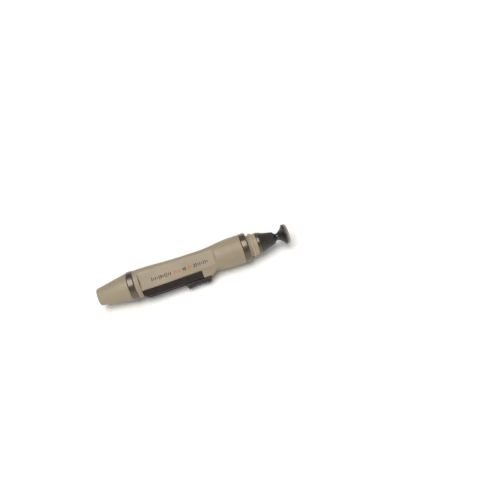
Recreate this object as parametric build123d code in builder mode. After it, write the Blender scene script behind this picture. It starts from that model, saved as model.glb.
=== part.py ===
"""Lens cleaning pen: a retractable brush in the nose and a flexible cleaning tip at the other end.

Millimetres, +Z up. The pen lies on a table along X, with the cleaning tip at +X. It rests on its
two black rings and on one edge of the thumb slider. "Station" is the distance from the nose end.
"""
from build123d import *
from math import cos, radians, sin
import os

os.makedirs("parts", exist_ok=True)

# ---- overall ----
LENGTH = 117.3
RING_R = 8.85
SLIDER_DROP = 32.6  # degrees that the slider points below the horizontal, when the pen rests
PEN_Y = 1.44  # centres the pen and its slider together on Y = 0
BORE_R = 4.3  # cavity that the brush carriage runs in
GAP = 0.3  # clearance between pieces that move past each other

# ---- stations along the pen ----
REAR_RING = (19.0, 22.9)
BARREL = (22.9, 88.5)
FRONT_RING = (88.5, 92.4)
PANEL = (25.6, 70.9)
TRACK = (25.6, 62.0)
HUMP_TOP_END = 67.3
HUMP_END = 70.8
COLLAR_END = 97.8
TIP_RING_END = 99.7
HOLDER_END = 109.4
NECK_END = 111.6
CUP_END = 115.6
PAD_BACK_END = 116.5

# ---- label panels and slider rail, in the pen's cross-section ----
SEAT_U = 5.6  # flat seat of the slide track, towards the slider
RAIL_U = 9.6  # top of the rail
RAIL_HALF_BASE = 5.2
RAIL_HALF_TOP = 3.5
SLOT_WIDTH = 2.8
SLOT = (28.7, 61.3)

# ---- slider, drawn with the brush in ----
BUTTON = (50.5, 66.4)
BUTTON_U = (RAIL_U + GAP, 12.4)
BUTTON_HALF = 3.2
STEM = (53.0, 61.0)
STEM_WIDTH = 2.4
STEM_FOOT_U = 1.6
RIDGES = 7
RIDGE_PITCH = 1.75
RIDGE_R = 0.42
CARRIAGE = (50.0, 66.0)
CARRIAGE_R = BORE_R - 0.08  # running fit
SPRING_THICKNESS = 0.3
SPRING_WIDTH = 2.6
ROD_R = 1.9
FERRULE = (17.5, 27.5)
FERRULE_R = 3.1
HAIR_TIP = 1.8
HAIR_ROOT_R = FERRULE_R - 0.3
FERRULE_SOCKET = 4.0  # how far the rod goes into the ferrule
ROD_DEPTH = 3.0  # how far the rod goes into the carriage
ROD_PIN_R = 0.5
ROD_PIN_HALF = 3.9
SPRING_FLOOR_U = -2.6
SPRING_SPAN = 10.0
BUTTON_DISH = 0.75

# ---- nose, plug, collar and tip ----
NOSE_R = 5.0
NOSE_BORE_R = 3.9
NOSE_SPIGOT_R = 6.2
SPIGOT_END = 25.2
RING_SEAT_R = 7.0
PLUG_START = 82.0
PLUG_R = 6.5
STEM_BORE_R = 2.6
LIP_R = 6.7
GROOVE_R = 6.45
BEAD = (94.3, 95.2)
BEAD_R = 7.2
COLLAR_R = 6.55
TIP_RING_R = 6.5
CORE_R = 1.6
CORE_END = 105.0
TILT = 110.4  # station of the neck's waist, where the tip flexes
NECK_R = 2.05
CUP_R = 6.0
PAD_R = 5.95
DISH_DEPTH = 0.3
DISH_R = 35.0

# ---- planes ----
drop = radians(SLIDER_DROP)
slider_way = Vector(0, -cos(drop), -sin(drop))
panel_way = Vector(0, -sin(drop), cos(drop))
nose = Vector(-LENGTH / 2, PEN_Y, RING_R)
pen_axis = Axis(nose, (1, 0, 0))
side = Plane(origin=nose, x_dir=(1, 0, 0), z_dir=-panel_way)  # x: station, y: towards the slider
above = Plane(origin=nose, x_dir=(1, 0, 0), z_dir=slider_way)  # x: station, y: towards the panel


def across(station):
    """Cross-section plane at a station: x towards the panel, y towards the slider."""
    return Plane(origin=nose + Vector(station, 0, 0), x_dir=panel_way, z_dir=(1, 0, 0))


def save(part, name):
    """Label a finished piece and write its STEP file."""
    part.label = name
    export_step(part, f"parts/{name}.step")


def rail_outline():
    """Face of the rail's cross-section, from the barrel's core to the rounded top."""
    with BuildSketch() as outline:
        with BuildLine():
            Polyline(
                (-RAIL_HALF_BASE, SEAT_U),
                (-RAIL_HALF_TOP, RAIL_U),
                (RAIL_HALF_TOP, RAIL_U),
                (RAIL_HALF_BASE, SEAT_U),
                close=True,
            )
        make_face()
        fillet(outline.vertices().group_by(Axis.Y)[-1], 1.1)
    return outline.sketch


rail_face = rail_outline()

# ---- hump: the taupe shoulder at the tip end of the rail ----
with BuildPart() as hump:
    with BuildSketch(across(TRACK[1])):
        add(rail_face)
        with Locations((0, SEAT_U - 1)):
            Rectangle(2 * RAIL_HALF_BASE, 2)
    extrude(amount=HUMP_END - TRACK[1] + 2)
    with BuildSketch(side):
        with BuildLine():
            Polyline(
                (TRACK[1], 0),
                (TRACK[1], RAIL_U),
                (HUMP_TOP_END, RAIL_U),
                (HUMP_END, 7.0),
                (HUMP_END + 1, 0),
                close=True,
            )
        make_face()
    extrude(amount=RAIL_HALF_BASE + 1, both=True, mode=Mode.INTERSECT)

# ---- barrel: waisted shell with two label panels and the slider's seat ----
with BuildPart() as barrel:
    with BuildSketch(side):
        with BuildLine():
            Polyline((BARREL[0], 8.5), (BARREL[0], 0), (BARREL[1], 0), (BARREL[1], 8.65), (81, 8.65))
            Spline((81, 8.65), (75, 8.2), (70, 7.6), (65, 7.28), (58, 7.28), (44, 7.65), (32, 8.35),
                   (BARREL[0], 8.5), tangents=((-1, 0), (-1, 0)))
        make_face()
    revolve(axis=pen_axis)
    add(hump.part)
    # label panels: flat across the pen, dished along it, a step at the nose end, a ramp at the other
    with BuildSketch(above):
        with BuildLine():
            Line((PANEL[0], 12), (PANEL[0], 6.9))
            Spline((PANEL[0], 6.9), (36, 6.05), (48, 5.45), (60, 5.35), (66, 5.7), (PANEL[1], 6.4))
            Polyline((PANEL[1], 6.4), (PANEL[1] + 1.7, 8.4), (PANEL[1] + 1.7, 12), (PANEL[0], 12))
        make_face()
        mirror(about=Plane.XZ)
    extrude(amount=12, both=True, mode=Mode.SUBTRACT)
    # seat of the slide track
    with BuildSketch(side):
        with Locations(((TRACK[0] + TRACK[1]) / 2, SEAT_U + 5)):
            Rectangle(TRACK[1] - TRACK[0], 10)
    extrude(amount=12, both=True, mode=Mode.SUBTRACT)
    # cavity, and counterbores for the nose and the collar
    with BuildSketch(side):
        with BuildLine():
            Polyline(
                (BARREL[0], 0), (BARREL[0], NOSE_SPIGOT_R), (SPIGOT_END, NOSE_SPIGOT_R),
                (SPIGOT_END, BORE_R), (PLUG_START, BORE_R), (PLUG_START, PLUG_R),
                (BARREL[1], PLUG_R), (BARREL[1], 0), close=True,
            )
        make_face()
    revolve(axis=pen_axis, mode=Mode.SUBTRACT)
    # slot for the slider's stem
    with BuildSketch(above):
        with Locations(((SLOT[0] + SLOT[1]) / 2, 0)):
            Rectangle(SLOT[1] - SLOT[0], SLOT_WIDTH)
    extrude(amount=20, mode=Mode.SUBTRACT)
save(barrel.part, "barrel")

# ---- slide track: the black rail that closes the barrel round the slot ----
with BuildPart() as slide_track:
    with BuildSketch(across(TRACK[0])):
        add(rail_face)
    extrude(amount=TRACK[1] - TRACK[0])
    with BuildSketch(side):
        with BuildLine():
            Polyline(
                (TRACK[0], SEAT_U), (TRACK[0], 8.3), (TRACK[0] + 2.2, RAIL_U), (TRACK[1], RAIL_U),
                (TRACK[1], SEAT_U), close=True,
            )
        make_face()
    extrude(amount=RAIL_HALF_BASE + 1, both=True, mode=Mode.INTERSECT)
    with BuildSketch(above):
        with Locations(((SLOT[0] + SLOT[1]) / 2, 0)):
            Rectangle(SLOT[1] - SLOT[0], SLOT_WIDTH)
    extrude(amount=20, mode=Mode.SUBTRACT)
save(slide_track.part, "slide_track")

# ---- nose cone, with the bore that the brush comes out of ----
with BuildPart() as nose_cone:
    with BuildSketch(side):
        with BuildLine():
            Polyline(
                (0.5, NOSE_BORE_R), (0, NOSE_BORE_R + 0.4), (0, NOSE_R - 0.5), (0.5, NOSE_R),
                (REAR_RING[0] - 0.3, 8.45), (REAR_RING[0], 8.2), (REAR_RING[0], RING_SEAT_R),
                (REAR_RING[1], RING_SEAT_R), (REAR_RING[1], NOSE_SPIGOT_R),
                (SPIGOT_END, NOSE_SPIGOT_R), (SPIGOT_END, NOSE_BORE_R), close=True,
            )
        make_face()
    revolve(axis=pen_axis)
save(nose_cone.part, "nose_cone")

# ---- the two black rings ----
for name, (start, end) in (("rear_ring", REAR_RING), ("front_ring", FRONT_RING)):
    with BuildPart() as ring:
        with BuildSketch(across(start)):
            Circle(RING_R)
            Circle(RING_SEAT_R, mode=Mode.SUBTRACT)
        extrude(amount=end - start)
        fillet(ring.edges().filter_by(GeomType.CIRCLE).sort_by(SortBy.RADIUS)[-2:], 0.6)
    save(ring.part, name)

# ---- cap collar: plug that closes the barrel, and the land that the cap clicks on ----
with BuildPart() as cap_collar:
    with BuildSketch(side):
        with BuildLine():
            plug = Polyline(
                (PLUG_START, STEM_BORE_R), (PLUG_START, PLUG_R), (FRONT_RING[0], PLUG_R),
                (FRONT_RING[0], RING_SEAT_R), (FRONT_RING[1], RING_SEAT_R), (FRONT_RING[1], LIP_R),
                (FRONT_RING[1] + 0.6, LIP_R),
                (FRONT_RING[1] + 0.8, GROOVE_R), (BEAD[0] - 0.5, GROOVE_R),
            )
            rise = ThreePointArc(plug @ 1, (BEAD[0] - 0.28, BEAD_R - 0.15), (BEAD[0], BEAD_R))
            bead = Line(rise @ 1, (BEAD[1], BEAD_R - 0.05))
            fall = ThreePointArc(bead @ 1, (BEAD[1] + 0.35, BEAD_R - 0.25), (BEAD[1] + 0.7, COLLAR_R))
            Polyline(
                fall @ 1, (COLLAR_END - 0.2, COLLAR_R), (COLLAR_END, COLLAR_R - 0.2),
                (COLLAR_END, STEM_BORE_R), (PLUG_START, STEM_BORE_R),
            )
        make_face()
    revolve(axis=pen_axis)
save(cap_collar.part, "cap_collar")

# ---- cleaning tip: ring, stem, rubber holder, neck and cup ----
with BuildPart() as tip_ring:
    with BuildSketch(across(COLLAR_END)):
        Circle(TIP_RING_R)
        Circle(STEM_BORE_R, mode=Mode.SUBTRACT)
    extrude(amount=TIP_RING_END - COLLAR_END)
    fillet(tip_ring.edges().filter_by(GeomType.CIRCLE).sort_by(SortBy.RADIUS)[-2:], 0.4)
save(tip_ring.part, "tip_ring")

with BuildPart() as tip_stem:
    with BuildSketch(side):
        with BuildLine():
            Polyline(
                (PLUG_START - 2.5, 0), (PLUG_START - 2.5, STEM_BORE_R + 1.1),
                (PLUG_START, STEM_BORE_R + 1.1), (PLUG_START, STEM_BORE_R),
                (TIP_RING_END, STEM_BORE_R), (TIP_RING_END, CORE_R), (CORE_END, CORE_R),
                (CORE_END, 0), close=True,
            )
        make_face()
    revolve(axis=pen_axis)
save(tip_stem.part, "tip_stem")

with BuildPart() as tip_holder:
    with BuildSketch(side):
        with BuildLine():
            Line((TIP_RING_END, 0), (TIP_RING_END, 6.25))
            Spline(
                (TIP_RING_END, 6.25), (100.4, 6.03), (102.0, 5.3), (104.0, 4.65), (106.0, 4.18),
                (107.6, 3.83),
            )
            ThreePointArc((107.6, 3.83), (108.45, 3.42), (108.8, 2.95))
            Polyline((108.8, 2.95), (HOLDER_END, 2.45), (HOLDER_END, 0), (TIP_RING_END, 0))
        make_face()
    revolve(axis=pen_axis)
    with BuildSketch(across(TIP_RING_END)):
        Circle(CORE_R)
    extrude(amount=CORE_END - TIP_RING_END, mode=Mode.SUBTRACT)
save(tip_holder.part, "tip_holder")

with BuildPart() as tip_neck:
    with BuildSketch(side):
        with BuildLine():
            Line((HOLDER_END, 0), (HOLDER_END, 2.45))
            ThreePointArc((HOLDER_END, 2.45), (TILT, NECK_R), (NECK_END, 2.6))
            Polyline((NECK_END, 2.6), (NECK_END, 0), (HOLDER_END, 0))
        make_face()
    revolve(axis=pen_axis)
save(tip_neck.part, "tip_neck")

with BuildPart() as tip_cup:
    with BuildSketch(side):
        with BuildLine():
            Line((NECK_END, 0), (NECK_END, 2.6))
            Spline((NECK_END, 2.6), (113.2, 3.75), (CUP_END - 0.85, CUP_R))
            Polyline(
                (CUP_END - 0.85, CUP_R), (CUP_END - 0.2, CUP_R), (CUP_END, CUP_R - 0.2),
                (CUP_END, 5.3), (CUP_END - 0.5, 5.3), (CUP_END - 0.5, 0), (NECK_END, 0),
            )
        make_face()
    revolve(axis=pen_axis)
save(tip_cup.part, "tip_cup")

with BuildPart() as pad_backing:
    with BuildSketch(across(CUP_END - 0.5)):
        Circle(5.3)
    extrude(amount=0.5)
    with BuildSketch(across(CUP_END)):
        Circle(PAD_R)
    extrude(amount=PAD_BACK_END - CUP_END)
    fillet(pad_backing.edges().group_by(Axis.X)[-1], 0.15)
save(pad_backing.part, "pad_backing")

with BuildPart() as cleaning_pad:
    with BuildSketch(across(PAD_BACK_END)):
        Circle(PAD_R - 0.15)
    extrude(amount=LENGTH - PAD_BACK_END)
    chamfer(cleaning_pad.edges().group_by(Axis.X)[-1], 0.3)
    # dished working face
    with Locations(nose + Vector(LENGTH - DISH_DEPTH + DISH_R, 0, 0)):
        Sphere(DISH_R, mode=Mode.SUBTRACT)
save(cleaning_pad.part, "cleaning_pad")

# ---- slider: ribbed thumb button, with its stem down through the slot ----
button_low, button_high = BUTTON_U
button_middle = (BUTTON[0] + BUTTON[1]) / 2
with BuildPart() as slider_button:
    with BuildSketch(across(BUTTON[0])) as button_section:
        with BuildLine():
            Polyline(
                (-BUTTON_HALF, button_low), (-BUTTON_HALF + 0.45, button_high),
                (BUTTON_HALF - 0.45, button_high), (BUTTON_HALF, button_low), close=True,
            )
        make_face()
        fillet(button_section.vertices().group_by(Axis.Y)[-1], 0.7)
    extrude(amount=BUTTON[1] - BUTTON[0])
    with BuildSketch(side):
        with BuildLine():
            Line((BUTTON[0], button_low), (BUTTON[0] + 1.0, button_high))
            ThreePointArc(
                (BUTTON[0] + 1.0, button_high), (button_middle, button_high - BUTTON_DISH),
                (BUTTON[1] - 1.4, button_high),
            )
            Polyline((BUTTON[1] - 1.4, button_high), (BUTTON[1], button_low), (BUTTON[0], button_low))
        make_face()
    extrude(amount=BUTTON_HALF + 1, both=True, mode=Mode.INTERSECT)
    # grip ridges across the dished top
    with BuildSketch(side):
        with Locations((button_middle, button_high - BUTTON_DISH - 0.1)):
            with GridLocations(RIDGE_PITCH, 1, RIDGES, 1):
                Circle(RIDGE_R)
    extrude(amount=BUTTON_HALF - 0.6, both=True)
    with BuildSketch(above.offset(STEM_FOOT_U)):
        with Locations(((STEM[0] + STEM[1]) / 2, 0)):
            Rectangle(STEM[1] - STEM[0], STEM_WIDTH)
    extrude(amount=button_low + 0.5 - STEM_FOOT_U)
save(slider_button.part, "slider_button")

# ---- carriage: runs in the barrel's bore, with a socket for the stem and a groove for the spring ----
with BuildPart() as slider_carriage:
    with BuildSketch(across(CARRIAGE[0])):
        Circle(CARRIAGE_R)
    extrude(amount=CARRIAGE[1] - CARRIAGE[0])
    chamfer(slider_carriage.edges().filter_by(GeomType.CIRCLE), 0.4)
    with BuildSketch(above.offset(STEM_FOOT_U)):
        with Locations(((STEM[0] + STEM[1]) / 2, 0)):
            Rectangle(STEM[1] - STEM[0], STEM_WIDTH)
    extrude(amount=BORE_R, mode=Mode.SUBTRACT)
    with BuildSketch(across(CARRIAGE[0])):
        Circle(ROD_R)
    extrude(amount=ROD_DEPTH, mode=Mode.SUBTRACT)
    with BuildSketch(side):
        with Locations((CARRIAGE[0] + ROD_DEPTH / 2, 0)):
            Circle(ROD_PIN_R)
    extrude(amount=BORE_R, both=True, mode=Mode.SUBTRACT)
    with BuildSketch(side):
        with Locations(((CARRIAGE[0] + CARRIAGE[1]) / 2 + 1, SPRING_FLOOR_U - 2)):
            Rectangle(SPRING_SPAN, 4)
    extrude(amount=SPRING_WIDTH / 2 + 0.1, both=True, mode=Mode.SUBTRACT)
save(slider_carriage.part, "slider_carriage")

# ---- detent spring: arched steel strip that holds the slider at both ends of the slot ----
spring_middle = (CARRIAGE[0] + CARRIAGE[1]) / 2 + 1
spring_start = spring_middle - SPRING_SPAN / 2 + 0.2
spring_stop = spring_middle + SPRING_SPAN / 2 - 0.2
spring_crown_u = -(BORE_R - GAP)
with BuildPart() as detent_spring:
    with BuildSketch(side):
        with BuildLine():
            outer = ThreePointArc(
                (spring_start, SPRING_FLOOR_U - SPRING_THICKNESS), (spring_middle, spring_crown_u),
                (spring_stop, SPRING_FLOOR_U - SPRING_THICKNESS),
            )
            Line(outer @ 1, (spring_stop, SPRING_FLOOR_U))
            inner = ThreePointArc(
                (spring_stop, SPRING_FLOOR_U), (spring_middle, spring_crown_u + SPRING_THICKNESS),
                (spring_start, SPRING_FLOOR_U),
            )
            Line(inner @ 1, outer @ 0)
        make_face()
    extrude(amount=SPRING_WIDTH / 2, both=True)
save(detent_spring.part, "detent_spring")

# ---- brush: rod, cross pin, ferrule and hair ----
with BuildPart() as brush_rod:
    with BuildSketch(across(FERRULE[1] - FERRULE_SOCKET)):
        Circle(ROD_R)
    extrude(amount=CARRIAGE[0] + ROD_DEPTH - FERRULE[1] + FERRULE_SOCKET)
    with BuildSketch(side):
        with Locations((CARRIAGE[0] + ROD_DEPTH / 2, 0)):
            Circle(ROD_PIN_R)
    extrude(amount=BORE_R, both=True, mode=Mode.SUBTRACT)
save(brush_rod.part, "brush_rod")

with BuildPart() as rod_pin:
    with BuildSketch(side):
        with Locations((CARRIAGE[0] + ROD_DEPTH / 2, 0)):
            Circle(ROD_PIN_R)
    extrude(amount=ROD_PIN_HALF, both=True)
save(rod_pin.part, "rod_pin")

with BuildPart() as brush_ferrule:
    with BuildSketch(side):
        with BuildLine():
            Polyline(
                (FERRULE[0], HAIR_ROOT_R), (FERRULE[0], FERRULE_R - 0.15), (FERRULE[0] + 0.3, FERRULE_R),
                (FERRULE[1] - 0.8, FERRULE_R), (FERRULE[1], FERRULE_R - 0.7), (FERRULE[1], ROD_R),
                (FERRULE[1] - FERRULE_SOCKET, ROD_R), (FERRULE[1] - FERRULE_SOCKET, HAIR_ROOT_R),
                close=True,
            )
        make_face()
    revolve(axis=pen_axis)
save(brush_ferrule.part, "brush_ferrule")

with BuildPart() as brush_hair:
    with BuildSketch(side):
        with BuildLine():
            Polyline((HAIR_TIP, 0), (FERRULE[1] - FERRULE_SOCKET, 0), (FERRULE[1] - FERRULE_SOCKET, HAIR_ROOT_R),
                     (FERRULE[0], HAIR_ROOT_R))
            Spline((FERRULE[0], HAIR_ROOT_R), (12, 3.3), (6, 3.1), (2.6, 1.5), (HAIR_TIP, 0))
        make_face()
    revolve(axis=pen_axis)
save(brush_hair.part, "brush_hair")
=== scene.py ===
"""Looks of the lens cleaning pen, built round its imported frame.

Lengths along the pen are stations in millimetres from the nose end, as in the design. A point of the
pen is (station, v, u): v towards the label panel on the camera's side, u towards the thumb slider.
"""
from math import acos, ceil, cos, pi, radians, sin, sqrt, tan

import bmesh
import bpy
import numpy as np
from mathutils import Matrix, Vector


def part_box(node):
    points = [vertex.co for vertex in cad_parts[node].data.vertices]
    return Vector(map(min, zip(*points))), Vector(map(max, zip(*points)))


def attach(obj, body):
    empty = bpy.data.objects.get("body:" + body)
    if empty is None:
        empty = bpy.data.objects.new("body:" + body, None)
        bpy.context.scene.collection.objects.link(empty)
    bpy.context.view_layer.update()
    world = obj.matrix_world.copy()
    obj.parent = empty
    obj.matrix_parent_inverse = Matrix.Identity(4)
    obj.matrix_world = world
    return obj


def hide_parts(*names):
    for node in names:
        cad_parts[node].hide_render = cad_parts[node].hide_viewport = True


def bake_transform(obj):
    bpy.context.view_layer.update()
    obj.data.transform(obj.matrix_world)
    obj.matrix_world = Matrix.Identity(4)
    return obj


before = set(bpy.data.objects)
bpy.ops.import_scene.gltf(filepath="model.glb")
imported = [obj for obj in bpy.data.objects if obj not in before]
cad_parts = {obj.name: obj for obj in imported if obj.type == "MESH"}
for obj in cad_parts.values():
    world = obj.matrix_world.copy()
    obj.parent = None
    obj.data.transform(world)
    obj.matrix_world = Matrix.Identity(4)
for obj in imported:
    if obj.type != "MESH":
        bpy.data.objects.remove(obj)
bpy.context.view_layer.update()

MM = 0.001
SLIDER_DROP = radians(32.6)  # how far the slider points below the horizontal

# ------------------------------------------------------------ the pen's own axes, from the frame

ring_low, ring_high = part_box("front_ring")
nose_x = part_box("nose_cone")[0].x
ORIGIN = Vector((nose_x, (ring_low.y + ring_high.y) / 2, (ring_low.z + ring_high.z) / 2))
ALONG = Vector((1, 0, 0))
PANEL_WAY = Vector((0, -sin(SLIDER_DROP), cos(SLIDER_DROP)))
SLIDER_WAY = Vector((0, -cos(SLIDER_DROP), -sin(SLIDER_DROP)))
PEN = np.array([ALONG, PANEL_WAY, SLIDER_WAY])


def span(node):
    """First and last station of a CAD node."""
    low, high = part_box(node)
    return (low.x - nose_x) / MM, (high.x - nose_x) / MM


def place(points):
    """Pen coordinates in millimetres, (station, v, u), to the row frame in metres."""
    return np.asarray(points, float) @ PEN * MM + np.array(ORIGIN)


REAR_RING = span("rear_ring")
FRONT_RING = span("front_ring")
BARREL = span("barrel")
TRACK = span("slide_track")
COLLAR = (FRONT_RING[1], span("cap_collar")[1])
PLUG_START = span("cap_collar")[0]
TIP_RING = span("tip_ring")
HOLDER = span("tip_holder")
NECK = span("tip_neck")
CUP = span("tip_cup")
BACKING = (CUP[1], span("pad_backing")[1])
PAD = span("cleaning_pad")
FERRULE = span("brush_ferrule")
HAIR_TIP = span("brush_hair")[0]
BUTTON = span("slider_button")
RING_R = (ring_high.z - ring_low.z) / 2 / MM

# the design's radii that no box gives, in millimetres
BORE_R = 4.3
NOSE_R = 5.0
NOSE_BORE_R = 3.9
NOSE_SPIGOT_R = 6.2
SPIGOT_END = 25.2
RING_SEAT_R = 7.0
PLUG_R = 6.5
STEM_BORE_R = 2.6
LIP_R = 6.7
GROOVE_R = 6.45
BEAD = (94.3, 95.2)
BEAD_R = 7.2
COLLAR_R = 6.55
TIP_RING_R = 6.5
SEAT_U = 5.6
RAIL_U = 9.6
RAIL_BASE = 5.2
RAIL_TOP = 3.5
SLOT = (28.7, 61.3)
SLOT_WIDTH = 2.8
HUMP = (TRACK[1], 67.3, 70.8)  # rail end, end of the flat top, foot of the ramp
PANEL = (25.6, 70.9)
PANEL_EDGE = 0.16  # rounding of the panels' edges towards the slider
PANEL_BACK_EDGE = 0.7  # what the rounding gains on the far side
PANEL_GROOVE = 0.32  # depth of the groove at the panels' nose end
PRINT_U = 1.1  # middle line of the printed bars
PRINT_PROUD = 0.012
PRINT_DEPTH = 0.05
NECK_WAIST = 110.4
NECK_R = 2.05

# ------------------------------------------------------------ curves and outlines


def curve(knots, x, start_slope=None, end_slope=None):
    """Smooth curve through knots (x, y), evaluated at x."""
    kx, ky = np.array(sorted(knots), float).T
    slope = np.gradient(ky, kx)
    if start_slope is not None:
        slope[0] = start_slope
    if end_slope is not None:
        slope[-1] = end_slope
    x = np.clip(x, kx[0], kx[-1])
    i = np.clip(np.searchsorted(kx, x, side="right") - 1, 0, len(kx) - 2)
    h = kx[i + 1] - kx[i]
    t = (x - kx[i]) / h
    return (
        (2 * t**3 - 3 * t**2 + 1) * ky[i] + (t**3 - 2 * t**2 + t) * h * slope[i]
        + (3 * t**2 - 2 * t**3) * ky[i + 1] + (t**3 - t**2) * h * slope[i + 1]
    )


def smooth_min(a, b, k):
    """Smaller of a and b, with a rounded corner about k wide."""
    h = np.clip(0.5 + 0.5 * (b - a) / k, 0, 1)
    return b * (1 - h) + a * h - k * h * (1 - h)


def smooth_max(a, b, k):
    return -smooth_min(-np.asarray(a), -np.asarray(b), k)


def smooth_step(low, high, x):
    t = np.clip((x - low) / (high - low), 0, 1)
    return t * t * (3 - 2 * t)


def rounded(corners, closed=False):
    """Outline through corners (x, y, radius), with each corner rounded by its radius."""
    corners = [tuple(c) + (0,) * (3 - len(c)) for c in corners]
    count = len(corners)
    points = []
    for i, (x, y, radius) in enumerate(corners):
        at_end = not closed and i in (0, count - 1)
        if radius <= 0 or at_end:
            points.append((x, y))
            continue
        here = np.array((x, y))
        back = np.array(corners[i - 1][:2]) - here
        on = np.array(corners[(i + 1) % count][:2]) - here
        back_length, on_length = np.linalg.norm(back), np.linalg.norm(on)
        back, on = back / back_length, on / on_length
        half = acos(np.clip(back @ on, -1, 1)) / 2
        if half > radians(89):
            points.append((x, y))
            continue
        reach = min(radius / tan(half), 0.49 * back_length, 0.49 * on_length)
        radius = reach * tan(half)
        middle = (back + on) / np.linalg.norm(back + on)
        centre = here + middle * radius / sin(half)
        steps = max(2, ceil((pi - 2 * half) / radians(12)))
        start, stop = here + back * reach - centre, here + on * reach - centre
        turn = pi - 2 * half
        for k in range(steps + 1):
            f = k / steps
            arm = (sin((1 - f) * turn) * start + sin(f * turn) * stop) / sin(turn)
            points.append(tuple(centre + arm))
    return points


def between(first, last, step):
    """Evenly spaced values from first to last, about step apart."""
    return np.linspace(first, last, max(2, round((last - first) / step) + 1))


# ------------------------------------------------------------ mesh helpers


def finish_mesh(name, mesh, material, sharp=35):
    """Clean normals, shade smooth except at edges over `sharp` degrees, and paint."""
    bm = bmesh.new()
    bm.from_mesh(mesh)
    bmesh.ops.remove_doubles(bm, verts=bm.verts, dist=1e-8)
    bmesh.ops.dissolve_degenerate(bm, edges=bm.edges, dist=1e-8)
    bmesh.ops.recalc_face_normals(bm, faces=bm.faces)
    bm.to_mesh(mesh)
    bm.free()
    mesh.shade_smooth()
    mesh.set_sharp_from_angle(angle=radians(sharp))
    mesh.materials.clear()
    mesh.materials.append(material)
    piece = bpy.data.objects.new(name, mesh)
    bpy.context.scene.collection.objects.link(piece)
    return piece


def mesh_piece(name, points, faces, material, sharp=35):
    """A piece from pen coordinates and faces."""
    mesh = bpy.data.meshes.new(name)
    mesh.from_pydata(place(points).tolist(), [], faces)
    return finish_mesh(name, mesh, material, sharp)


def lathe(name, outline, material, closed=True, turns=160, reshape=None, sharp=35):
    """Turn an outline of (station, radius) round the pen's axis. reshape may change the radii."""
    outline = np.array(outline, float)
    stations, radii = outline.T
    angles = np.arange(turns) * 2 * pi / turns
    grid = np.repeat(radii[:, None], turns, axis=1)
    if reshape:
        grid = reshape(stations[:, None], grid, angles[None, :])
    points = np.stack(
        [np.repeat(stations[:, None], turns, axis=1), grid * np.cos(angles), grid * np.sin(angles)], -1
    ).reshape(-1, 3)
    rows = len(outline)
    faces = []
    for i in range(rows if closed else rows - 1):
        j = (i + 1) % rows
        for k in range(turns):
            m = (k + 1) % turns
            faces.append((i * turns + k, i * turns + m, j * turns + m, j * turns + k))
    return mesh_piece(name, points, faces, material, sharp)


def loft(name, sections, material, sharp=35):
    """Skin over closed sections that all have the same number of points, with flat ends."""
    count = len(sections[0])
    points = np.concatenate(sections)
    faces = []
    for i in range(len(sections) - 1):
        for k in range(count):
            m = (k + 1) % count
            faces.append((i * count + k, i * count + m, (i + 1) * count + m, (i + 1) * count + k))
    faces.append(tuple(range(count)))
    last = (len(sections) - 1) * count
    faces.append(tuple(last + k for k in reversed(range(count))))
    return mesh_piece(name, points, faces, material, sharp)


def pen_box(low, high):
    """A plain cutter box between two pen coordinates."""
    corners = [(s, v, u) for s in (low[0], high[0]) for v in (low[1], high[1]) for u in (low[2], high[2])]
    faces = [(0, 1, 3, 2), (4, 6, 7, 5), (0, 4, 5, 1), (2, 3, 7, 6), (0, 2, 6, 4), (1, 5, 7, 3)]
    mesh = bpy.data.meshes.new("cutter")
    mesh.from_pydata(place(corners).tolist(), [], faces)
    cutter = bpy.data.objects.new("cutter", mesh)
    bpy.context.scene.collection.objects.link(cutter)
    return cutter


def apply_modifiers(piece):
    """Bake the piece's modifiers into its mesh."""
    bpy.context.view_layer.update()
    depsgraph = bpy.context.evaluated_depsgraph_get()
    mesh = bpy.data.meshes.new_from_object(piece.evaluated_get(depsgraph))
    piece.modifiers.clear()
    old = piece.data
    piece.data = mesh
    bpy.data.meshes.remove(old)


def cut(piece, cutter):
    """Take the cutter's solid out of the piece."""
    modifier = piece.modifiers.new("cut", "BOOLEAN")
    modifier.operation = "DIFFERENCE"
    modifier.solver = "EXACT"
    modifier.object = cutter
    apply_modifiers(piece)
    bpy.data.objects.remove(cutter)


def ease(piece, width, sharp=35):
    """Break the piece's sharp edges with a small rounded bevel, width in millimetres."""
    modifier = piece.modifiers.new("ease", "BEVEL")
    modifier.width = width * MM
    modifier.segments = 3
    modifier.limit_method = "ANGLE"
    modifier.angle_limit = radians(40)
    modifier.harden_normals = False
    apply_modifiers(piece)
    piece.data.shade_smooth()
    piece.data.set_sharp_from_angle(angle=radians(sharp))


# ------------------------------------------------------------ materials


def srgb(red, green, blue):
    """Colour given in 0-255 display values, as linear RGBA."""
    display = (red / 255, green / 255, blue / 255)
    linear = [c / 12.92 if c <= 0.04045 else ((c + 0.055) / 1.055) ** 2.4 for c in display]
    return (*linear, 1)


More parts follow.
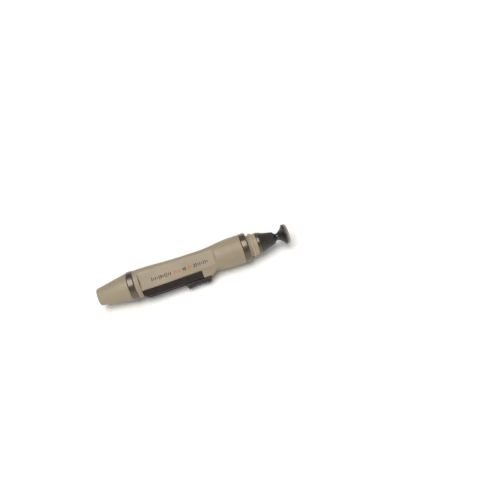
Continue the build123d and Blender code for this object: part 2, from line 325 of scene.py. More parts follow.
class Surface:
    """A principled material with named texture helpers, in object space (metres)."""

    def __init__(self, name):
        self.material = bpy.data.materials.new(name)
        self.material.use_nodes = True
        self.nodes = self.material.node_tree.nodes
        self.links = self.material.node_tree.links
        self.shader = self.nodes["Principled BSDF"]
        self.coordinates = self.nodes.new("ShaderNodeTexCoord").outputs["Object"]

    def set(self, **values):
        for name, value in values.items():
            self.shader.inputs[name.replace("_", " ")].default_value = value
        return self

    def noise(self, size, detail=3, roughness=0.5, stretch=None):
        """Noise whose features are about `size` millimetres; stretch scales its axes."""
        node = self.nodes.new("ShaderNodeTexNoise")
        node.inputs["Scale"].default_value = 1 / (size * MM)
        node.inputs["Detail"].default_value = detail
        node.inputs["Roughness"].default_value = roughness
        source = self.coordinates
        if stretch:
            mapping = self.nodes.new("ShaderNodeMapping")
            mapping.inputs["Scale"].default_value = stretch
            self.links.new(source, mapping.inputs["Vector"])
            source = mapping.outputs["Vector"]
        self.links.new(source, node.inputs["Vector"])
        return node.outputs["Fac"]

    def along(self):
        """Distance along the pen's axis in the row frame, in metres."""
        split = self.nodes.new("ShaderNodeSeparateXYZ")
        self.links.new(self.coordinates, split.inputs[0])
        return split.outputs["X"]

    def ramp(self, value, *stops):
        """Colour ramp with stops (position, colour or grey)."""
        node = self.nodes.new("ShaderNodeValToRGB")
        elements = node.color_ramp.elements
        while len(elements) < len(stops):
            elements.new(0.5)
        for element, (position, colour) in zip(elements, stops):
            element.position = position
            element.color = colour if hasattr(colour, "__len__") else (colour, colour, colour, 1)
        self.links.new(value, node.inputs["Fac"])
        return node.outputs["Color"]

    def mix(self, factor, a, b, mode="MIX"):
        node = self.nodes.new("ShaderNodeMix")
        node.data_type = "RGBA"
        node.blend_type = mode
        for socket, value in ((node.inputs["Factor"], factor), (node.inputs["A"], a), (node.inputs["B"], b)):
            self.feed(socket, value)
        return node.outputs["Result"]

    def feed(self, socket, value):
        if isinstance(value, bpy.types.NodeSocket):
            self.links.new(value, socket)
        else:
            socket.default_value = value

    def math(self, operation, *values):
        node = self.nodes.new("ShaderNodeMath")
        node.operation = operation
        for socket, value in zip(node.inputs, values):
            self.feed(socket, value)
        return node.outputs[0]

    def map_range(self, value, low, high, to_low, to_high):
        node = self.nodes.new("ShaderNodeMapRange")
        for name, number in (("From Min", low), ("From Max", high), ("To Min", to_low), ("To Max", to_high)):
            node.inputs[name].default_value = number
        self.links.new(value, node.inputs["Value"])
        return node.outputs["Result"]

    def bump(self, *layers):
        """Bump from (height socket, depth in millimetres), one on top of another."""
        normal = None
        for height, depth in layers:
            node = self.nodes.new("ShaderNodeBump")
            node.inputs["Strength"].default_value = 1
            node.inputs["Distance"].default_value = depth * MM
            self.links.new(height, node.inputs["Height"])
            if normal:
                self.links.new(normal, node.inputs["Normal"])
            normal = node.outputs["Normal"]
        self.links.new(normal, self.shader.inputs["Normal"])
        return self

    def edge_wear(self, colour, worn, amount):
        """Mix in a lighter worn colour on convex edges."""
        geometry = self.nodes.new("ShaderNodeNewGeometry")
        edges = self.ramp(geometry.outputs["Pointiness"], (0.52, 0.0), (0.60, 1.0))
        patches = self.map_range(self.noise(2.2, 4), 0.35, 0.65, 0.2, 1.0)
        factor = self.math("MULTIPLY", self.math("MULTIPLY", edges, patches), amount)
        return self.mix(factor, colour, worn)

    def parting_line(self, colour, line_colour):
        """A faint moulding line down the pen's back, opposite the slider."""
        amounts = []
        for way, low, high in ((PANEL_WAY, 0.05, 0.09), (SLIDER_WAY, -3.0, -2.0)):
            offset = self.nodes.new("ShaderNodeVectorMath")
            offset.operation = "SUBTRACT"
            offset.inputs[1].default_value = ORIGIN
            self.links.new(self.coordinates, offset.inputs[0])
            along = self.nodes.new("ShaderNodeVectorMath")
            along.operation = "DOT_PRODUCT"
            along.inputs[1].default_value = way
            self.links.new(offset.outputs["Vector"], along.inputs[0])
            value = along.outputs["Value"]
            if way is PANEL_WAY:
                value = self.math("ABSOLUTE", value)
            amounts.append(self.map_range(value, low * MM, high * MM, 1, 0))
        return self.mix(self.math("MULTIPLY", *amounts), colour, line_colour)

    def colour(self, value):
        self.feed(self.shader.inputs["Base Color"], value)
        return self

    def roughness(self, value):
        self.feed(self.shader.inputs["Roughness"], value)
        return self


def taupe_plastic(name="taupe_plastic", base=(143, 130, 109)):
    """Satin moulded plastic: fine spark-eroded grain, faint flow variation, paler worn edges."""
    s = Surface(name)
    red, green, blue = base
    dark = srgb(red - 6, green - 6, blue - 6)
    pale = srgb(red + 5, green + 5, blue + 4)
    flow = s.ramp(s.noise(9, 4, 0.55, (0.4, 1, 1)), (0.35, dark), (0.65, pale))
    fleck = s.map_range(s.noise(0.25, 2), 0.45, 0.75, 0.0, 0.16)
    speckled = s.mix(fleck, flow, srgb(red - 28, green - 27, blue - 25))
    worn = s.edge_wear(speckled, srgb(red + 26, green + 25, blue + 22), 0.35)
    s.colour(s.parting_line(worn, srgb(red - 30, green - 28, blue - 25)))
    s.roughness(s.map_range(s.noise(3.5, 4), 0.3, 0.7, 0.42, 0.54))
    s.bump((s.noise(0.16, 3, 0.6), 0.005), (s.noise(1.6, 3), 0.012))
    return s.set(Specular_IOR_Level=0.42).material


def black_gloss():
    """Glossy brown-black moulding with a slight ripple and fine handling marks."""
    s = Surface("black_gloss")
    s.colour(s.ramp(s.noise(4, 4), (0.35, srgb(34, 24, 18)), (0.7, srgb(46, 34, 26))))
    s.roughness(s.map_range(s.noise(1.1, 5, 0.6, (0.25, 1, 1)), 0.3, 0.75, 0.26, 0.40))
    s.bump((s.noise(3.0, 2), 0.02), (s.noise(0.12, 2), 0.0006))
    s.set(Specular_IOR_Level=1.0, Specular_Tint=(1, 0.83, 0.64, 1))
    return s.set(Coat_Weight=0.8, Coat_Roughness=0.24, Coat_Tint=(1, 0.95, 0.88, 1)).material


def black_satin():
    """Satin black moulding of the slider and its rail."""
    s = Surface("black_satin")
    base = s.ramp(s.noise(5, 4), (0.35, srgb(25, 18, 15)), (0.7, srgb(36, 28, 24)))
    s.colour(s.edge_wear(base, srgb(84, 77, 70), 0.45))
    s.roughness(s.map_range(s.noise(1.8, 4), 0.3, 0.7, 0.38, 0.55))
    s.bump((s.noise(0.14, 3, 0.6), 0.008), (s.noise(1.4, 3), 0.01))
    return s.set(Specular_IOR_Level=0.38).material


def black_rubber(name="black_rubber", low=0.30, high=0.46, shine=0.5, polished=None):
    """Soft rubber, with a dusty bloom and a matt grain; low and high are its roughness.

    polished gives two stations: as smooth as the neck before the first, fully rough past the second.
    """
    s = Surface(name)
    base = s.ramp(s.noise(2.5, 5, 0.6), (0.35, srgb(26, 22, 19)), (0.7, srgb(38, 33, 29)))
    dust = s.map_range(s.noise(0.5, 5, 0.65), 0.55, 0.8, 0.0, 0.16)
    s.colour(s.mix(dust, base, srgb(104, 98, 90)))
    rough = s.map_range(s.noise(0.9, 4), 0.3, 0.7, low, high)
    if polished:
        first, last = (nose_x + station * MM for station in polished)
        smooth = 0.16
        rough = s.mix(s.map_range(s.along(), first, last, 0, 1), (smooth, smooth, smooth, 1), rough)
    s.roughness(rough)
    s.bump((s.noise(0.10, 3, 0.65), 0.008), (s.noise(0.8, 3), 0.008))
    return s.set(Specular_IOR_Level=shine, Sheen_Weight=0.02, Sheen_Roughness=0.5).material


def plain_plastic():
    """Off-white inner moulding."""
    s = Surface("inner_plastic")
    s.colour(s.ramp(s.noise(5, 3), (0.35, srgb(206, 204, 196)), (0.65, srgb(222, 220, 213))))
    s.roughness(s.map_range(s.noise(1.5, 3), 0.3, 0.7, 0.4, 0.55))
    s.bump((s.noise(0.2, 3), 0.006))
    return s.material


def metal(name, colour, rough, stretch):
    """Bare metal with fine lines; stretch sets the lines' way."""
    s = Surface(name)
    red, green, blue = colour
    lines = s.noise(0.25, 4, 0.6, stretch)
    s.colour(s.ramp(lines, (0.3, srgb(red - 22, green - 22, blue - 22)), (0.7, srgb(red, green, blue))))
    s.roughness(s.map_range(lines, 0.3, 0.7, rough, rough + 0.16))
    s.bump((lines, 0.004))
    return s.set(Metallic=1.0).material


def bristle():
    """Fine natural hair, dark brown with paler tips."""
    s = Surface("bristle")
    s.colour(s.ramp(s.noise(0.35, 3, 0.6, (0.08, 1, 1)), (0.3, srgb(38, 28, 22)), (0.7, srgb(86, 66, 50))))
    s.roughness(s.map_range(s.noise(0.2, 2), 0.3, 0.7, 0.38, 0.6))
    s.bump((s.noise(0.05, 2), 0.002))
    return s.set(Sheen_Weight=0.3, Sheen_Roughness=0.4).material


def felt():
    """Grey dense felt behind the pad."""
    s = Surface("felt")
    fibres = s.noise(0.10, 4, 0.7)
    s.colour(s.ramp(fibres, (0.3, srgb(70, 65, 61)), (0.7, srgb(104, 98, 92))))
    s.roughness(s.map_range(fibres, 0.3, 0.7, 0.8, 0.95))
    s.bump((fibres, 0.05), (s.noise(0.5, 3), 0.03))
    return s.set(Sheen_Weight=0.5, Sheen_Roughness=0.6, Specular_IOR_Level=0.2).material


def chamois():
    """Napped chamois charged with carbon: near black, brushed patches, very matt."""
    s = Surface("chamois")
    nap = s.noise(0.9, 5, 0.65)
    fibres = s.noise(0.09, 4, 0.7)
    base = s.ramp(nap, (0.3, srgb(44, 43, 43)), (0.7, srgb(70, 68, 66)))
    s.colour(s.mix(s.map_range(fibres, 0.5, 0.8, 0.0, 0.35), base, srgb(104, 100, 96)))
    s.roughness(s.map_range(fibres, 0.3, 0.7, 0.85, 0.98))
    s.bump((fibres, 0.04), (nap, 0.04))
    return s.set(Sheen_Weight=0.6, Sheen_Roughness=0.5, Specular_IOR_Level=0.15).material


def cut_leather():
    """Pale cut edge of the chamois, where no carbon has reached."""
    s = Surface("cut_leather")
    fibres = s.noise(0.11, 4, 0.7)
    s.colour(s.ramp(fibres, (0.3, srgb(138, 130, 124)), (0.7, srgb(174, 166, 160))))
    s.roughness(s.map_range(fibres, 0.3, 0.7, 0.8, 0.95))
    s.bump((fibres, 0.04))
    return s.set(Sheen_Weight=0.3, Sheen_Roughness=0.6, Specular_IOR_Level=0.2).material


def ink(name, colour):
    """Pad-printed ink with slightly uneven cover."""
    s = Surface(name)
    red, green, blue = colour
    thin = srgb(red + 16, green + 14, blue + 12)
    s.colour(s.ramp(s.noise(0.3, 4), (0.3, srgb(red, green, blue)), (0.7, thin)))
    s.roughness(s.map_range(s.noise(0.5, 3), 0.3, 0.7, 0.35, 0.5))
    s.bump((s.noise(0.1, 2), 0.003))
    return s.material


TAUPE = taupe_plastic()
# A paler copy of the barrel's taupe for the collar: painted light, standing in for the brighter light on the
# pen's front.
COLLAR_TAUPE_PAINTED_LIGHTER = taupe_plastic("collar_plastic_painted_lighter", (155, 143, 120))
GLOSS = black_gloss()
SATIN = black_satin()
RUBBER = black_rubber()
NECK_RUBBER = black_rubber("neck_rubber", 0.12, 0.20, 0.8)
CUP_RUBBER = black_rubber("cup_rubber", 0.26, 0.40, 0.4, polished=(111.5, 113.2))
PLAIN = plain_plastic()
STEEL = metal("steel", (196, 196, 194), 0.22, (0.15, 1, 1))
ALUMINIUM = metal("aluminium", (214, 213, 210), 0.26, (1, 0.1, 0.1))
BRISTLE = bristle()
FELT = felt()
CHAMOIS = chamois()
CUT_LEATHER = cut_leather()
DARK_INK = ink("dark_ink", (50, 38, 28))
RED_INK = ink("red_ink", (158, 66, 44))


def fit(piece, body, slot, *nodes):
    """Ride on a body and stand for CAD nodes, which are hidden; slot is not used."""
    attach(piece, body)
    if nodes:
        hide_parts(*nodes)
    return piece


# ------------------------------------------------------------ barrel


def core_radius(station):
    """Radius of the waisted barrel before its panels."""
    knots = [
        (BARREL[0], 8.5), (32, 8.35), (44, 7.65), (58, 7.28), (65, 7.28), (70, 7.6), (75, 8.2), (81, 8.65),
        (BARREL[1], 8.65),
    ]
    return curve(knots, station, 0, 0)


def panel_depth(station):
    """Distance of the label panels from the axis: a step, a long dish and a ramp."""
    dish = curve([(PANEL[0], 6.9), (36, 6.05), (48, 5.45), (60, 5.35), (66, 5.7), (PANEL[1], 6.4)], station)
    ramp = 6.4 + (station - PANEL[1]) * 1.18
    depth = np.where(station > PANEL[1], ramp, dish)
    return depth + 4 * (1 - smooth_step(PANEL[0] - 0.16, PANEL[0] + 0.06, station))


def rail_radius(angle, top):
    """Radius of the rail's cross-section at an angle from the panel, for a rail top at `top`."""
    up, across = np.sin(angle), np.abs(np.cos(angle))
    side = np.array((RAIL_U - SEAT_U, RAIL_BASE - RAIL_TOP))
    side = side / np.linalg.norm(side)
    reach = side @ (RAIL_BASE, SEAT_U)
    safe = np.maximum(up, 1e-3)
    flank = np.minimum(reach / (side[0] * across + side[1] * safe), RAIL_BASE / np.maximum(across, 1e-3))
    return np.where(up > 0.05, smooth_min(top / safe, flank, 0.7), 0)


def barrel_radius(station, angle):
    """The barrel's outer radius: waisted core, two panels, their grooves, seat of the rail, and the hump."""
    across = np.maximum(np.abs(np.cos(angle)), 1e-3)
    far_side = smooth_step(0.1, 0.6, -np.sin(angle))
    edge = PANEL_EDGE + PANEL_BACK_EDGE * far_side
    radius = smooth_min(core_radius(station), panel_depth(station) / across, edge)
    start = PANEL[0]
    groove = smooth_step(start - 0.02, start + 0.1, station) - smooth_step(start + 0.4, start + 0.65, station)
    radius = radius - PANEL_GROOVE * groove * smooth_step(-0.3, 0.1, np.sin(angle))
    slope = (RAIL_U - 7.0) / (HUMP[2] - HUMP[1])
    top = smooth_min(RAIL_U, RAIL_U - (station - HUMP[1]) * slope, 0.7)
    hump = smooth_max(radius, rail_radius(angle, top), 0.12)
    up = np.maximum(np.sin(angle), 1e-3)
    seat = np.minimum(radius, np.where(np.sin(angle) > 0, SEAT_U / up, 99))
    in_seat = (station > TRACK[0]) & (station < TRACK[1])
    on_hump = (station >= TRACK[1]) & (station < HUMP[2] + 1.5)
    return np.where(in_seat, seat, np.where(on_hump, hump, radius))


def make_barrel():
    hair = 0.01
    first, last = BARREL
    outside = np.concatenate([
        [first, first + 0.06], between(first + 0.2, PANEL[0] - 0.2, 0.4),
        between(PANEL[0] - 0.17, TRACK[0] - hair, 0.04), between(TRACK[0] + hair, PANEL[0] + 0.7, 0.05),
        between(PANEL[0] + 0.9, TRACK[1] - 0.3, 0.38), [TRACK[1] - hair, TRACK[1] + hair],
        between(TRACK[1] + 0.2, 70.7, 0.15), between(70.75, 73, 0.05), between(73.2, last - 0.2, 0.4),
        [last - 0.06, last],
    ])
    inside = np.array([last, PLUG_START, PLUG_START, SPIGOT_END, SPIGOT_END, first])
    bores = np.array([PLUG_R, PLUG_R, BORE_R, BORE_R, NOSE_SPIGOT_R, NOSE_SPIGOT_R])
    outer = len(outside)
    ends = np.zeros(outer)
    ends[[0, -1]] = 0.08

    def reshape(stations, grid, angles):
        grid = grid.copy()
        grid[:outer] = barrel_radius(stations[:outer], angles) - ends[:, None]
        return grid

    outline = np.column_stack([np.concatenate([outside, inside]), np.concatenate([outside * 0 + 1, bores])])
    barrel = lathe("barrel_shell", outline, TAUPE, turns=360, reshape=reshape, sharp=28)
    half = SLOT_WIDTH / 2
    cut(barrel, pen_box((SLOT[0], -half, 3.0), (SLOT[1], half, 7.0)))
    barrel.data.set_sharp_from_angle(angle=radians(28))
    return fit(barrel, "root", "taupe_plastic", "barrel")


def make_print():
    """A plain pattern of thin printed bars along each panel, with a red accent, where pens carry a label."""
    heights = (2.5, 1.6, 2.1, 1.2, 2.5, 1.9, 1.4, 2.3)
    first, pitch, bars = 33.0, 1.12, 31
    red = (12, 13, 14, 15, 20, 21)
    bold = (5, 17, 18, 23)
    blank = (11, 16, 19, 22)
    for side, side_name in ((1, "front"), (-1, "back")):
        for is_red, ink_name, ink_material in ((False, "dark", DARK_INK), (True, "red", RED_INK)):
            points, faces = [], []
            for i in range(bars):
                if i in blank or (i in red) != is_red:
                    continue
                middle = first + i * pitch
                half = heights[i % len(heights)] / 2
                half_width = 0.46 if i in bold else 0.3
                base = len(points)
                for s in (middle - half_width, middle, middle + half_width):
                    top = panel_depth(np.array(s)) + PRINT_PROUD
                    low = top - PRINT_DEPTH
                    section = ((top, -half), (top, half), (low, half), (low, -half))
                    points += [(s, side * v, PRINT_U + u) for v, u in section]
                for j in (base, base + 4):
                    faces += [(j + k, j + (k + 1) % 4, j + 4 + (k + 1) % 4, j + 4 + k) for k in range(4)]
                faces += [tuple(base + k for k in range(4)), tuple(base + 8 + k for k in reversed(range(4)))]
            piece = mesh_piece(f"panel_print_{side_name}_{ink_name}", points, faces, ink_material)
            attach(piece, "root")


# ------------------------------------------------------------ rings, nose, collar


def make_nose():
    outline = rounded([
        (0, NOSE_BORE_R, 0.5), (0, NOSE_R, 0.6), (REAR_RING[0], 8.45, 0.18), (REAR_RING[0], RING_SEAT_R),
        (REAR_RING[1], RING_SEAT_R), (REAR_RING[1], NOSE_SPIGOT_R), (SPIGOT_END, NOSE_SPIGOT_R),
        (SPIGOT_END, NOSE_BORE_R),
    ], closed=True)
    fit(lathe("nose_shell", outline, TAUPE), "root", "taupe_plastic", "nose_cone")


def make_rings():
    for name, (start, end) in (("rear_ring", REAR_RING), ("front_ring", FRONT_RING)):
        outline = rounded([
            (start, RING_SEAT_R), (start, RING_R, 0.6), (end, RING_R, 0.75), (end, RING_SEAT_R),
        ], closed=True)
        fit(lathe(f"{name}_gloss", outline, GLOSS), "root", "black_gloss", name)


def make_collar():
    start, end = COLLAR
    outline = rounded([
        (PLUG_START, STEM_BORE_R), (PLUG_START, PLUG_R), (FRONT_RING[0], PLUG_R),
        (FRONT_RING[0], RING_SEAT_R), (start, RING_SEAT_R), (start, LIP_R),
        (start + 0.65, LIP_R, 0.2), (start + 0.8, GROOVE_R, 0.15),
        (BEAD[0] - 0.4, GROOVE_R, 0.2), (BEAD[0] - 0.2, BEAD_R, 0.3), (BEAD[1] + 0.2, BEAD_R, 0.35),
        (BEAD[1] + 0.55, COLLAR_R, 0.3), (end - 1.1, COLLAR_R, 0.05), (end - 1.0, COLLAR_R - 0.12, 0.08),
        (end - 0.75, COLLAR_R - 0.12, 0.08), (end - 0.65, COLLAR_R, 0.05), (end, COLLAR_R, 0.22),
        (end, STEM_BORE_R),
    ], closed=True)
    # The collar wears the paler copy of the taupe plastic, whose extra lightness is painted light.
    fit(lathe("collar", outline, COLLAR_TAUPE_PAINTED_LIGHTER), "root", "taupe_plastic", "cap_collar")


# ------------------------------------------------------------ cleaning tip


def make_tip():
    start, end = TIP_RING
    ring = rounded([
        (start, STEM_BORE_R), (start, TIP_RING_R, 0.35), (end, TIP_RING_R, 0.45), (end, STEM_BORE_R),
    ], closed=True)
    fit(lathe("tip_ring_gloss", ring, GLOSS), "root", "black_gloss", "tip_ring")

    start, end = HOLDER
    cone_end = 107.9
    stations = between(start + 0.4, cone_end, 0.15)
    knots = [(start, 6.25), (100.4, 6.03), (102, 5.3), (104, 4.65), (106, 4.18), (cone_end, 3.77)]
    cone = curve(knots, stations)
    shoulder = rounded([
        (cone_end, cone[-1]), (108.6, 3.5, 0.7), (108.85, 2.9, 0.3), (end, 2.45, 0.2), (end + 0.1, 2.42),
    ])
    foot = rounded([(start, 5.6), (start, 6.22, 0.2), (start + 0.38, cone[0] + 0.01)])
    outline = [(start, 0)] + foot + list(zip(stations, cone)) + shoulder + [(end + 0.1, 0)]

    def flutes(stations, grid, angles):
        count, depth = 26, 0.12
        run = smooth_step(start + 1.0, start + 2.6, stations) * (1 - smooth_step(106.8, 108.2, stations))
        return grid - depth * run * (0.5 + 0.5 * np.cos(count * angles)) ** 1.5

    holder = lathe("tip_cone", outline, RUBBER, closed=False, turns=312, reshape=flutes)
    fit(holder, "root", "black_rubber", "tip_holder")

    def neck_radius(station):
        knots = [(NECK[0], 2.45), (109.85, 2.16), (NECK_WAIST, NECK_R), (111.0, 2.22), (NECK[1], 2.6)]
        return curve(knots, station)

    for name, bodies, first, last in (
        ("tip_neck_lower", ("root", "neck"), NECK[0] - 0.3, NECK_WAIST),
        ("tip_neck_upper", ("neck", "tip_head"), NECK_WAIST, NECK[1] + 0.3),
    ):
        stations = between(first, last, 0.07)
        outline = [(first, 0)] + list(zip(stations, neck_radius(stations))) + [(last, 0)]
        piece = lathe(name, outline, NECK_RUBBER, closed=False, turns=96)
        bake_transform(piece)
        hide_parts("tip_neck")

    start, end = CUP
    flare = between(start, end - 0.85, 0.12)
    bell = curve([(start, 2.6), (112.4, 3.04), (113.2, 3.75), (114.0, 4.74), (end - 0.85, 5.95)], flare)
    rim = rounded([
        (end - 0.85, 5.95), (end - 0.75, 6.0, 0.1), (end - 0.05, 6.0, 0.3), (end, 5.3), (end - 0.5, 5.3),
        (end - 0.5, 0),
    ])
    outline = [(start, 0)] + list(zip(flare, bell)) + rim
    fit(lathe("tip_bell", outline, CUP_RUBBER, closed=False), "tip_head", "black_rubber", "tip_cup")


def rough_edge(rng, depth, waves):
    """Reshape that makes a cut soft edge slightly uneven."""
    phases = rng.uniform(0, 2 * pi, len(waves))

    def reshape(stations, grid, angles):
        wobble = sum(np.sin(w * angles + p) for w, p in zip(waves, phases)) / len(waves)
        return grid * (1 + depth * wobble * smooth_step(3.5, 5.8, grid) / 5.9)

    return reshape


def make_pad():
    rng = np.random.default_rng(11)
    start, end = BACKING
    outline = rounded([
        (start - 0.5, 0), (start - 0.5, 5.25), (start, 5.25), (start, 5.93, 0.12),
        (start + 0.45, 5.9, 0.3), (end, 5.93, 0.15), (end, 0),
    ])
    backing = lathe("pad_felt", outline, FELT, closed=False, reshape=rough_edge(rng, 0.02, (9, 23, 41)))
    fit(backing, "tip_head", "foam", "pad_backing")

    start, end = PAD
    dish_r, dish_depth = 4.6, 0.3
    edge = rounded([
        (start, 0), (start, 5.78), (end - 0.38, 5.8, 0.2), (end - 0.02, 5.45, 0.25), (end, dish_r),
    ])
    dish = [(end - dish_depth * (1 - (r / dish_r) ** 2), r) for r in np.linspace(4.4, 0, 23)]
    uneven = rough_edge(rng, 0.015, (7, 19, 37))
    pad = lathe("pad_chamois", edge + dish, CHAMOIS, closed=False, reshape=uneven)
    pad.data.materials.append(CUT_LEATHER)
    for face in pad.data.polygons:
        face.material_index = int(abs(face.normal.x) < 0.6)
    fit(pad, "tip_head", "chamois", "cleaning_pad")


# ------------------------------------------------------------ slider and its rail


def rail_section(station, top, ease_radius=1.1):
    """Closed section of the rail at a station, for a rail top at `top`."""
    share = (top - SEAT_U) / (RAIL_U - SEAT_U)
    half = RAIL_BASE + (RAIL_TOP - RAIL_BASE) * share
    outline = rounded([
        (-RAIL_BASE, SEAT_U), (-half, top, ease_radius), (half, top, ease_radius), (RAIL_BASE, SEAT_U),
    ])
    return np.array([(station, v, u) for v, u in outline])


def make_track():
    first, last = TRACK
    start_u, ramp = 8.3, 2.2  # height of the rail's rear end, and length of its slope up
    sections = []
    stations = [between(first, first + 3.2, 0.2), [first + 12, first + 24, last - 0.3, last]]
    for station in np.concatenate(stations):
        top = float(smooth_min(RAIL_U, start_u + (station - first) * (RAIL_U - start_u) / ramp, 0.5))
        sections.append(rail_section(station, top))
    track = loft("rail", sections, SATIN)
    half = SLOT_WIDTH / 2
    cut(track, pen_box((SLOT[0], -half, SEAT_U - 1), (SLOT[1], half, RAIL_U + 1)))
    ease(track, 0.14)
    fit(track, "root", "black_satin", "slide_track")


def make_button():
    first, last = BUTTON
    low, high = RAIL_U + 0.3, 12.4
    base_half, lean = 3.2, 0.45
    dish_half, dish_depth = 6.6, 0.75
    ridge_pitch, ridge_half, ridge_height = 1.75, 0.62, 0.3
    middle = (first + last) / 2
    sections = []
    for station in between(first + 0.02, last - 0.02, 0.08):
        dish = high - dish_depth * (1 - min(1, ((station - middle) / dish_half) ** 2))
        rise = 2.5 * (station - first)
        fall = 1.8 * (last - station)
        top = low + float(smooth_min(smooth_min(rise, fall, 0.4), dish - low, 0.45))
        top = max(top, low + 0.03)
        ridge = 0
        for k in range(-3, 4):
            offset = (station - middle - ridge_pitch * k) / ridge_half
            if abs(offset) < 1:
                ridge = ridge_height * sqrt(1 - offset**2)
        half = base_half - lean * (top - low) / (high - low)
        corner = min(0.65, 0.45 * (top - low))
        outline = rounded([(-base_half, low), (-half, top, corner), (half, top, corner), (base_half, low)])
        arc = (len(outline) - 2) // 2
        flat = np.linspace(outline[arc][0], outline[arc + 1][0], 23)[1:-1]
        lift = ridge * (1 - smooth_step(half - 0.95, half - 0.62, np.abs(flat)))
        ridged = [(v, top + h) for v, h in zip(flat, lift)]
        outline = outline[: arc + 1] + ridged + outline[arc + 1 :]
        sections.append(np.array([(station, v, u) for v, u in outline]))
    button = loft("thumb_button", sections, SATIN, sharp=40)
    fit(button, "slider", "black_satin", "slider_button")
    stem = pen_box((53.0, -1.2, 1.6), (61.0, 1.2, low + 0.2))
    stem.name = "thumb_button_stem"
    stem.data.materials.append(SATIN)
    ease(stem, 0.1)
    fit(stem, "slider", "black_satin")


# ------------------------------------------------------------ brush


def hair_outline(station):
    """Radius of the bundle of hair."""
    knots = [(HAIR_TIP, 0.5), (3.0, 1.7), (6, 3.0), (12, 3.25), (FERRULE[0], 2.75), (21.5, 2.7)]
    return curve(knots, station)


def make_brush():
    start, end = FERRULE
    tube_r, crimp_r, mouth_r, rod_r = 3.1, 2.93, 2.8, 1.9
    outline = rounded([
        (start, mouth_r), (start, tube_r, 0.14),
        (start + 1.6, tube_r, 0.1), (start + 1.85, crimp_r, 0.15),
        (start + 2.15, crimp_r, 0.15), (start + 2.4, tube_r, 0.1),
        (start + 5.2, tube_r, 0.1), (start + 5.45, crimp_r, 0.15),
        (start + 5.75, crimp_r, 0.15), (start + 6.0, tube_r, 0.1),
        (end - 0.9, tube_r, 0.3), (end, 2.4, 0.2), (end, rod_r), (end - 4, rod_r), (end - 4, mouth_r),
    ], closed=True)
    fit(lathe("ferrule", outline, ALUMINIUM, turns=128), "slider", "aluminium", "brush_ferrule")

    rng = np.random.default_rng(5)
    strands, steps, sides = 1500, 8, 4
    thickest, inset, stray = 0.055, 0.06, 0.05
    golden = pi * (3 - sqrt(5))
    root = start + 1.5
    points, faces = [], []
    for i in range(strands):
        ring = sqrt((i + 0.5) / strands)
        angle = i * golden + rng.normal(0, 0.05)
        tip = HAIR_TIP + 0.1 + 3.2 * ring**2.2 + abs(rng.normal(0, 0.35))
        drift = rng.normal(0, 0.10, 2)
        base = len(points)
        for k in range(steps + 1):
            f = k / steps
            station = root + (tip - root) * f
            radius = max(0.05, hair_outline(station) - inset) * ring
            v = radius * cos(angle) + drift[0] * f * f
            u = radius * sin(angle) + drift[1] * f * f
            reach = sqrt(v * v + u * u)
            limit = float(hair_outline(station)) + stray
            if reach > limit:
                v, u = v * limit / reach, u * limit / reach
            thick = thickest * (1 - 0.75 * f**2)
            for m in range(sides):
                a = m * 2 * pi / sides
                points.append((station, v + thick * cos(a), u + thick * sin(a)))
        for k in range(steps):
            for m in range(sides):
                n = (m + 1) % sides
                a, b = base + k * sides, base + (k + 1) * sides
                faces.append((a + m, a + n, b + n, b + m))
        faces.append(tuple(base + m for m in range(sides)))
        faces.append(tuple(base + steps * sides + m for m in reversed(range(sides))))
    mesh = bpy.data.meshes.new("hair")
    mesh.from_pydata(place(points).tolist(), [], faces)
    mesh.shade_smooth()
    mesh.materials.append(BRISTLE)
    hair = bpy.data.objects.new("hair", mesh)
    bpy.context.scene.collection.objects.link(hair)
    fit(hair, "slider", "bristle", "brush_hair")


# ------------------------------------------------------------ floor, light and camera


def make_floor():
    half = 3.0
    corners = [(-half, -half, 0), (half, -half, 0), (half, half, 0), (-half, half, 0)]
    mesh = bpy.data.meshes.new("floor")
    mesh.from_pydata(corners, [], [(0, 1, 2, 3)])
    s = Surface("pale_floor")
    s.colour(s.ramp(s.noise(60, 3), (0.3, srgb(238, 238, 237)), (0.7, srgb(243, 243, 242))))
    s.roughness(s.map_range(s.noise(20, 3), 0.3, 0.7, 0.7, 0.8))
    s.bump((s.noise(1.5, 3), 0.01))
    mesh.materials.append(s.set(Specular_IOR_Level=0.2).material)
    floor = bpy.data.objects.new("floor", mesh)
    bpy.context.scene.collection.objects.link(floor)


def soft_light(name, come_from, strength, spread, colour=(1, 1, 1), mirrored=True):
    """A large round softbox far away: even over the whole floor, spread degrees wide.

    mirrored says if glossy surfaces reflect it.
    """
    light = bpy.data.lights.new(name, "SUN")
    light.energy = strength
    light.angle = radians(spread)
    light.color = colour
    lamp = bpy.data.objects.new(name, light)
    lamp.rotation_euler = (-Vector(come_from)).to_track_quat("-Z", "Y").to_euler()
    lamp.visible_glossy = mirrored
    bpy.context.scene.collection.objects.link(lamp)


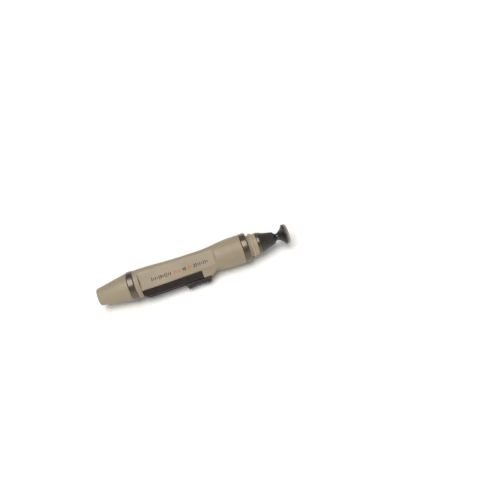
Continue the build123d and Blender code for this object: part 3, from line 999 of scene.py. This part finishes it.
def make_light():
    """Two softboxes and a studio that is white at the horizon and darker overhead."""
    soft_light("overhead_softbox", (-0.08, -0.08, 0.50), 2.6, 48, (1, 0.985, 0.96))
    soft_light("front_fill", (-0.30, -0.60, 0.40), 0.5, 36, mirrored=False)
    world = bpy.data.worlds.new("studio")
    world.use_nodes = True
    nodes, links = world.node_tree.nodes, world.node_tree.links
    direction = nodes.new("ShaderNodeTexCoord").outputs["Generated"]
    height = nodes.new("ShaderNodeSeparateXYZ")
    links.new(direction, height.inputs[0])
    sweep = nodes.new("ShaderNodeMapRange")
    for name, number in (("From Min", 0.05), ("From Max", 0.35), ("To Min", 1.0), ("To Max", 0.36)):
        sweep.inputs[name].default_value = number
    links.new(height.outputs["Z"], sweep.inputs["Value"])
    background = nodes["Background"]
    background.inputs["Color"].default_value = (1.0, 0.995, 0.985, 1)
    links.new(sweep.outputs["Result"], background.inputs["Strength"])
    bpy.context.scene.world = world


def make_camera():
    """A close view square to the label panel, with the pen rising to the right."""
    distance = 321.4 * MM
    rise = radians(18.8)  # slope of the pen across the picture
    away = radians(3.0)  # how far its tip leans away from the camera
    below = radians(10.0)  # how far below the panel's own normal the camera stands
    beside, above = 3.0 * MM, -4.53 * MM  # where the front ring's middle stands from the line of sight
    facing = PANEL_WAY * cos(below) + SLIDER_WAY * sin(below)
    upward = PANEL_WAY * sin(below) - SLIDER_WAY * cos(below)
    level = ALONG * cos(away) + facing * sin(away)
    back = facing * cos(away) - ALONG * sin(away)
    right = level * cos(rise) - upward * sin(rise)
    top = level * sin(rise) + upward * cos(rise)
    ring_middle = Vector(place([((FRONT_RING[0] + FRONT_RING[1]) / 2, 0, 0)])[0])
    offset = right * beside + top * above - back * distance
    data = bpy.data.cameras.new("camera")
    data.sensor_width = 36
    data.lens = 40.5
    data.clip_start = 0.01
    camera = bpy.data.objects.new("camera", data)
    turn = Matrix((right, top, back)).transposed().to_4x4()
    camera.matrix_world = Matrix.Translation(ring_middle - offset) @ turn
    bpy.context.scene.collection.objects.link(camera)
    bpy.context.scene.camera = camera


def paint_hidden_nodes():
    """CAD nodes whose own shape is right: they sit inside the pen."""
    for node, material in (
        ("tip_stem", PLAIN), ("slider_carriage", PLAIN), ("brush_rod", PLAIN),
        ("detent_spring", STEEL), ("rod_pin", STEEL),
    ):
        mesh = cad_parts[node].data
        mesh.materials.clear()
        mesh.materials.append(material)


make_camera()
make_light()
make_floor()
make_barrel()
make_print()
make_nose()
make_rings()
make_collar()
make_tip()
make_pad()
make_track()
make_button()
make_brush()
paint_hidden_nodes()

bpy.context.scene.view_settings.view_transform = "Standard"
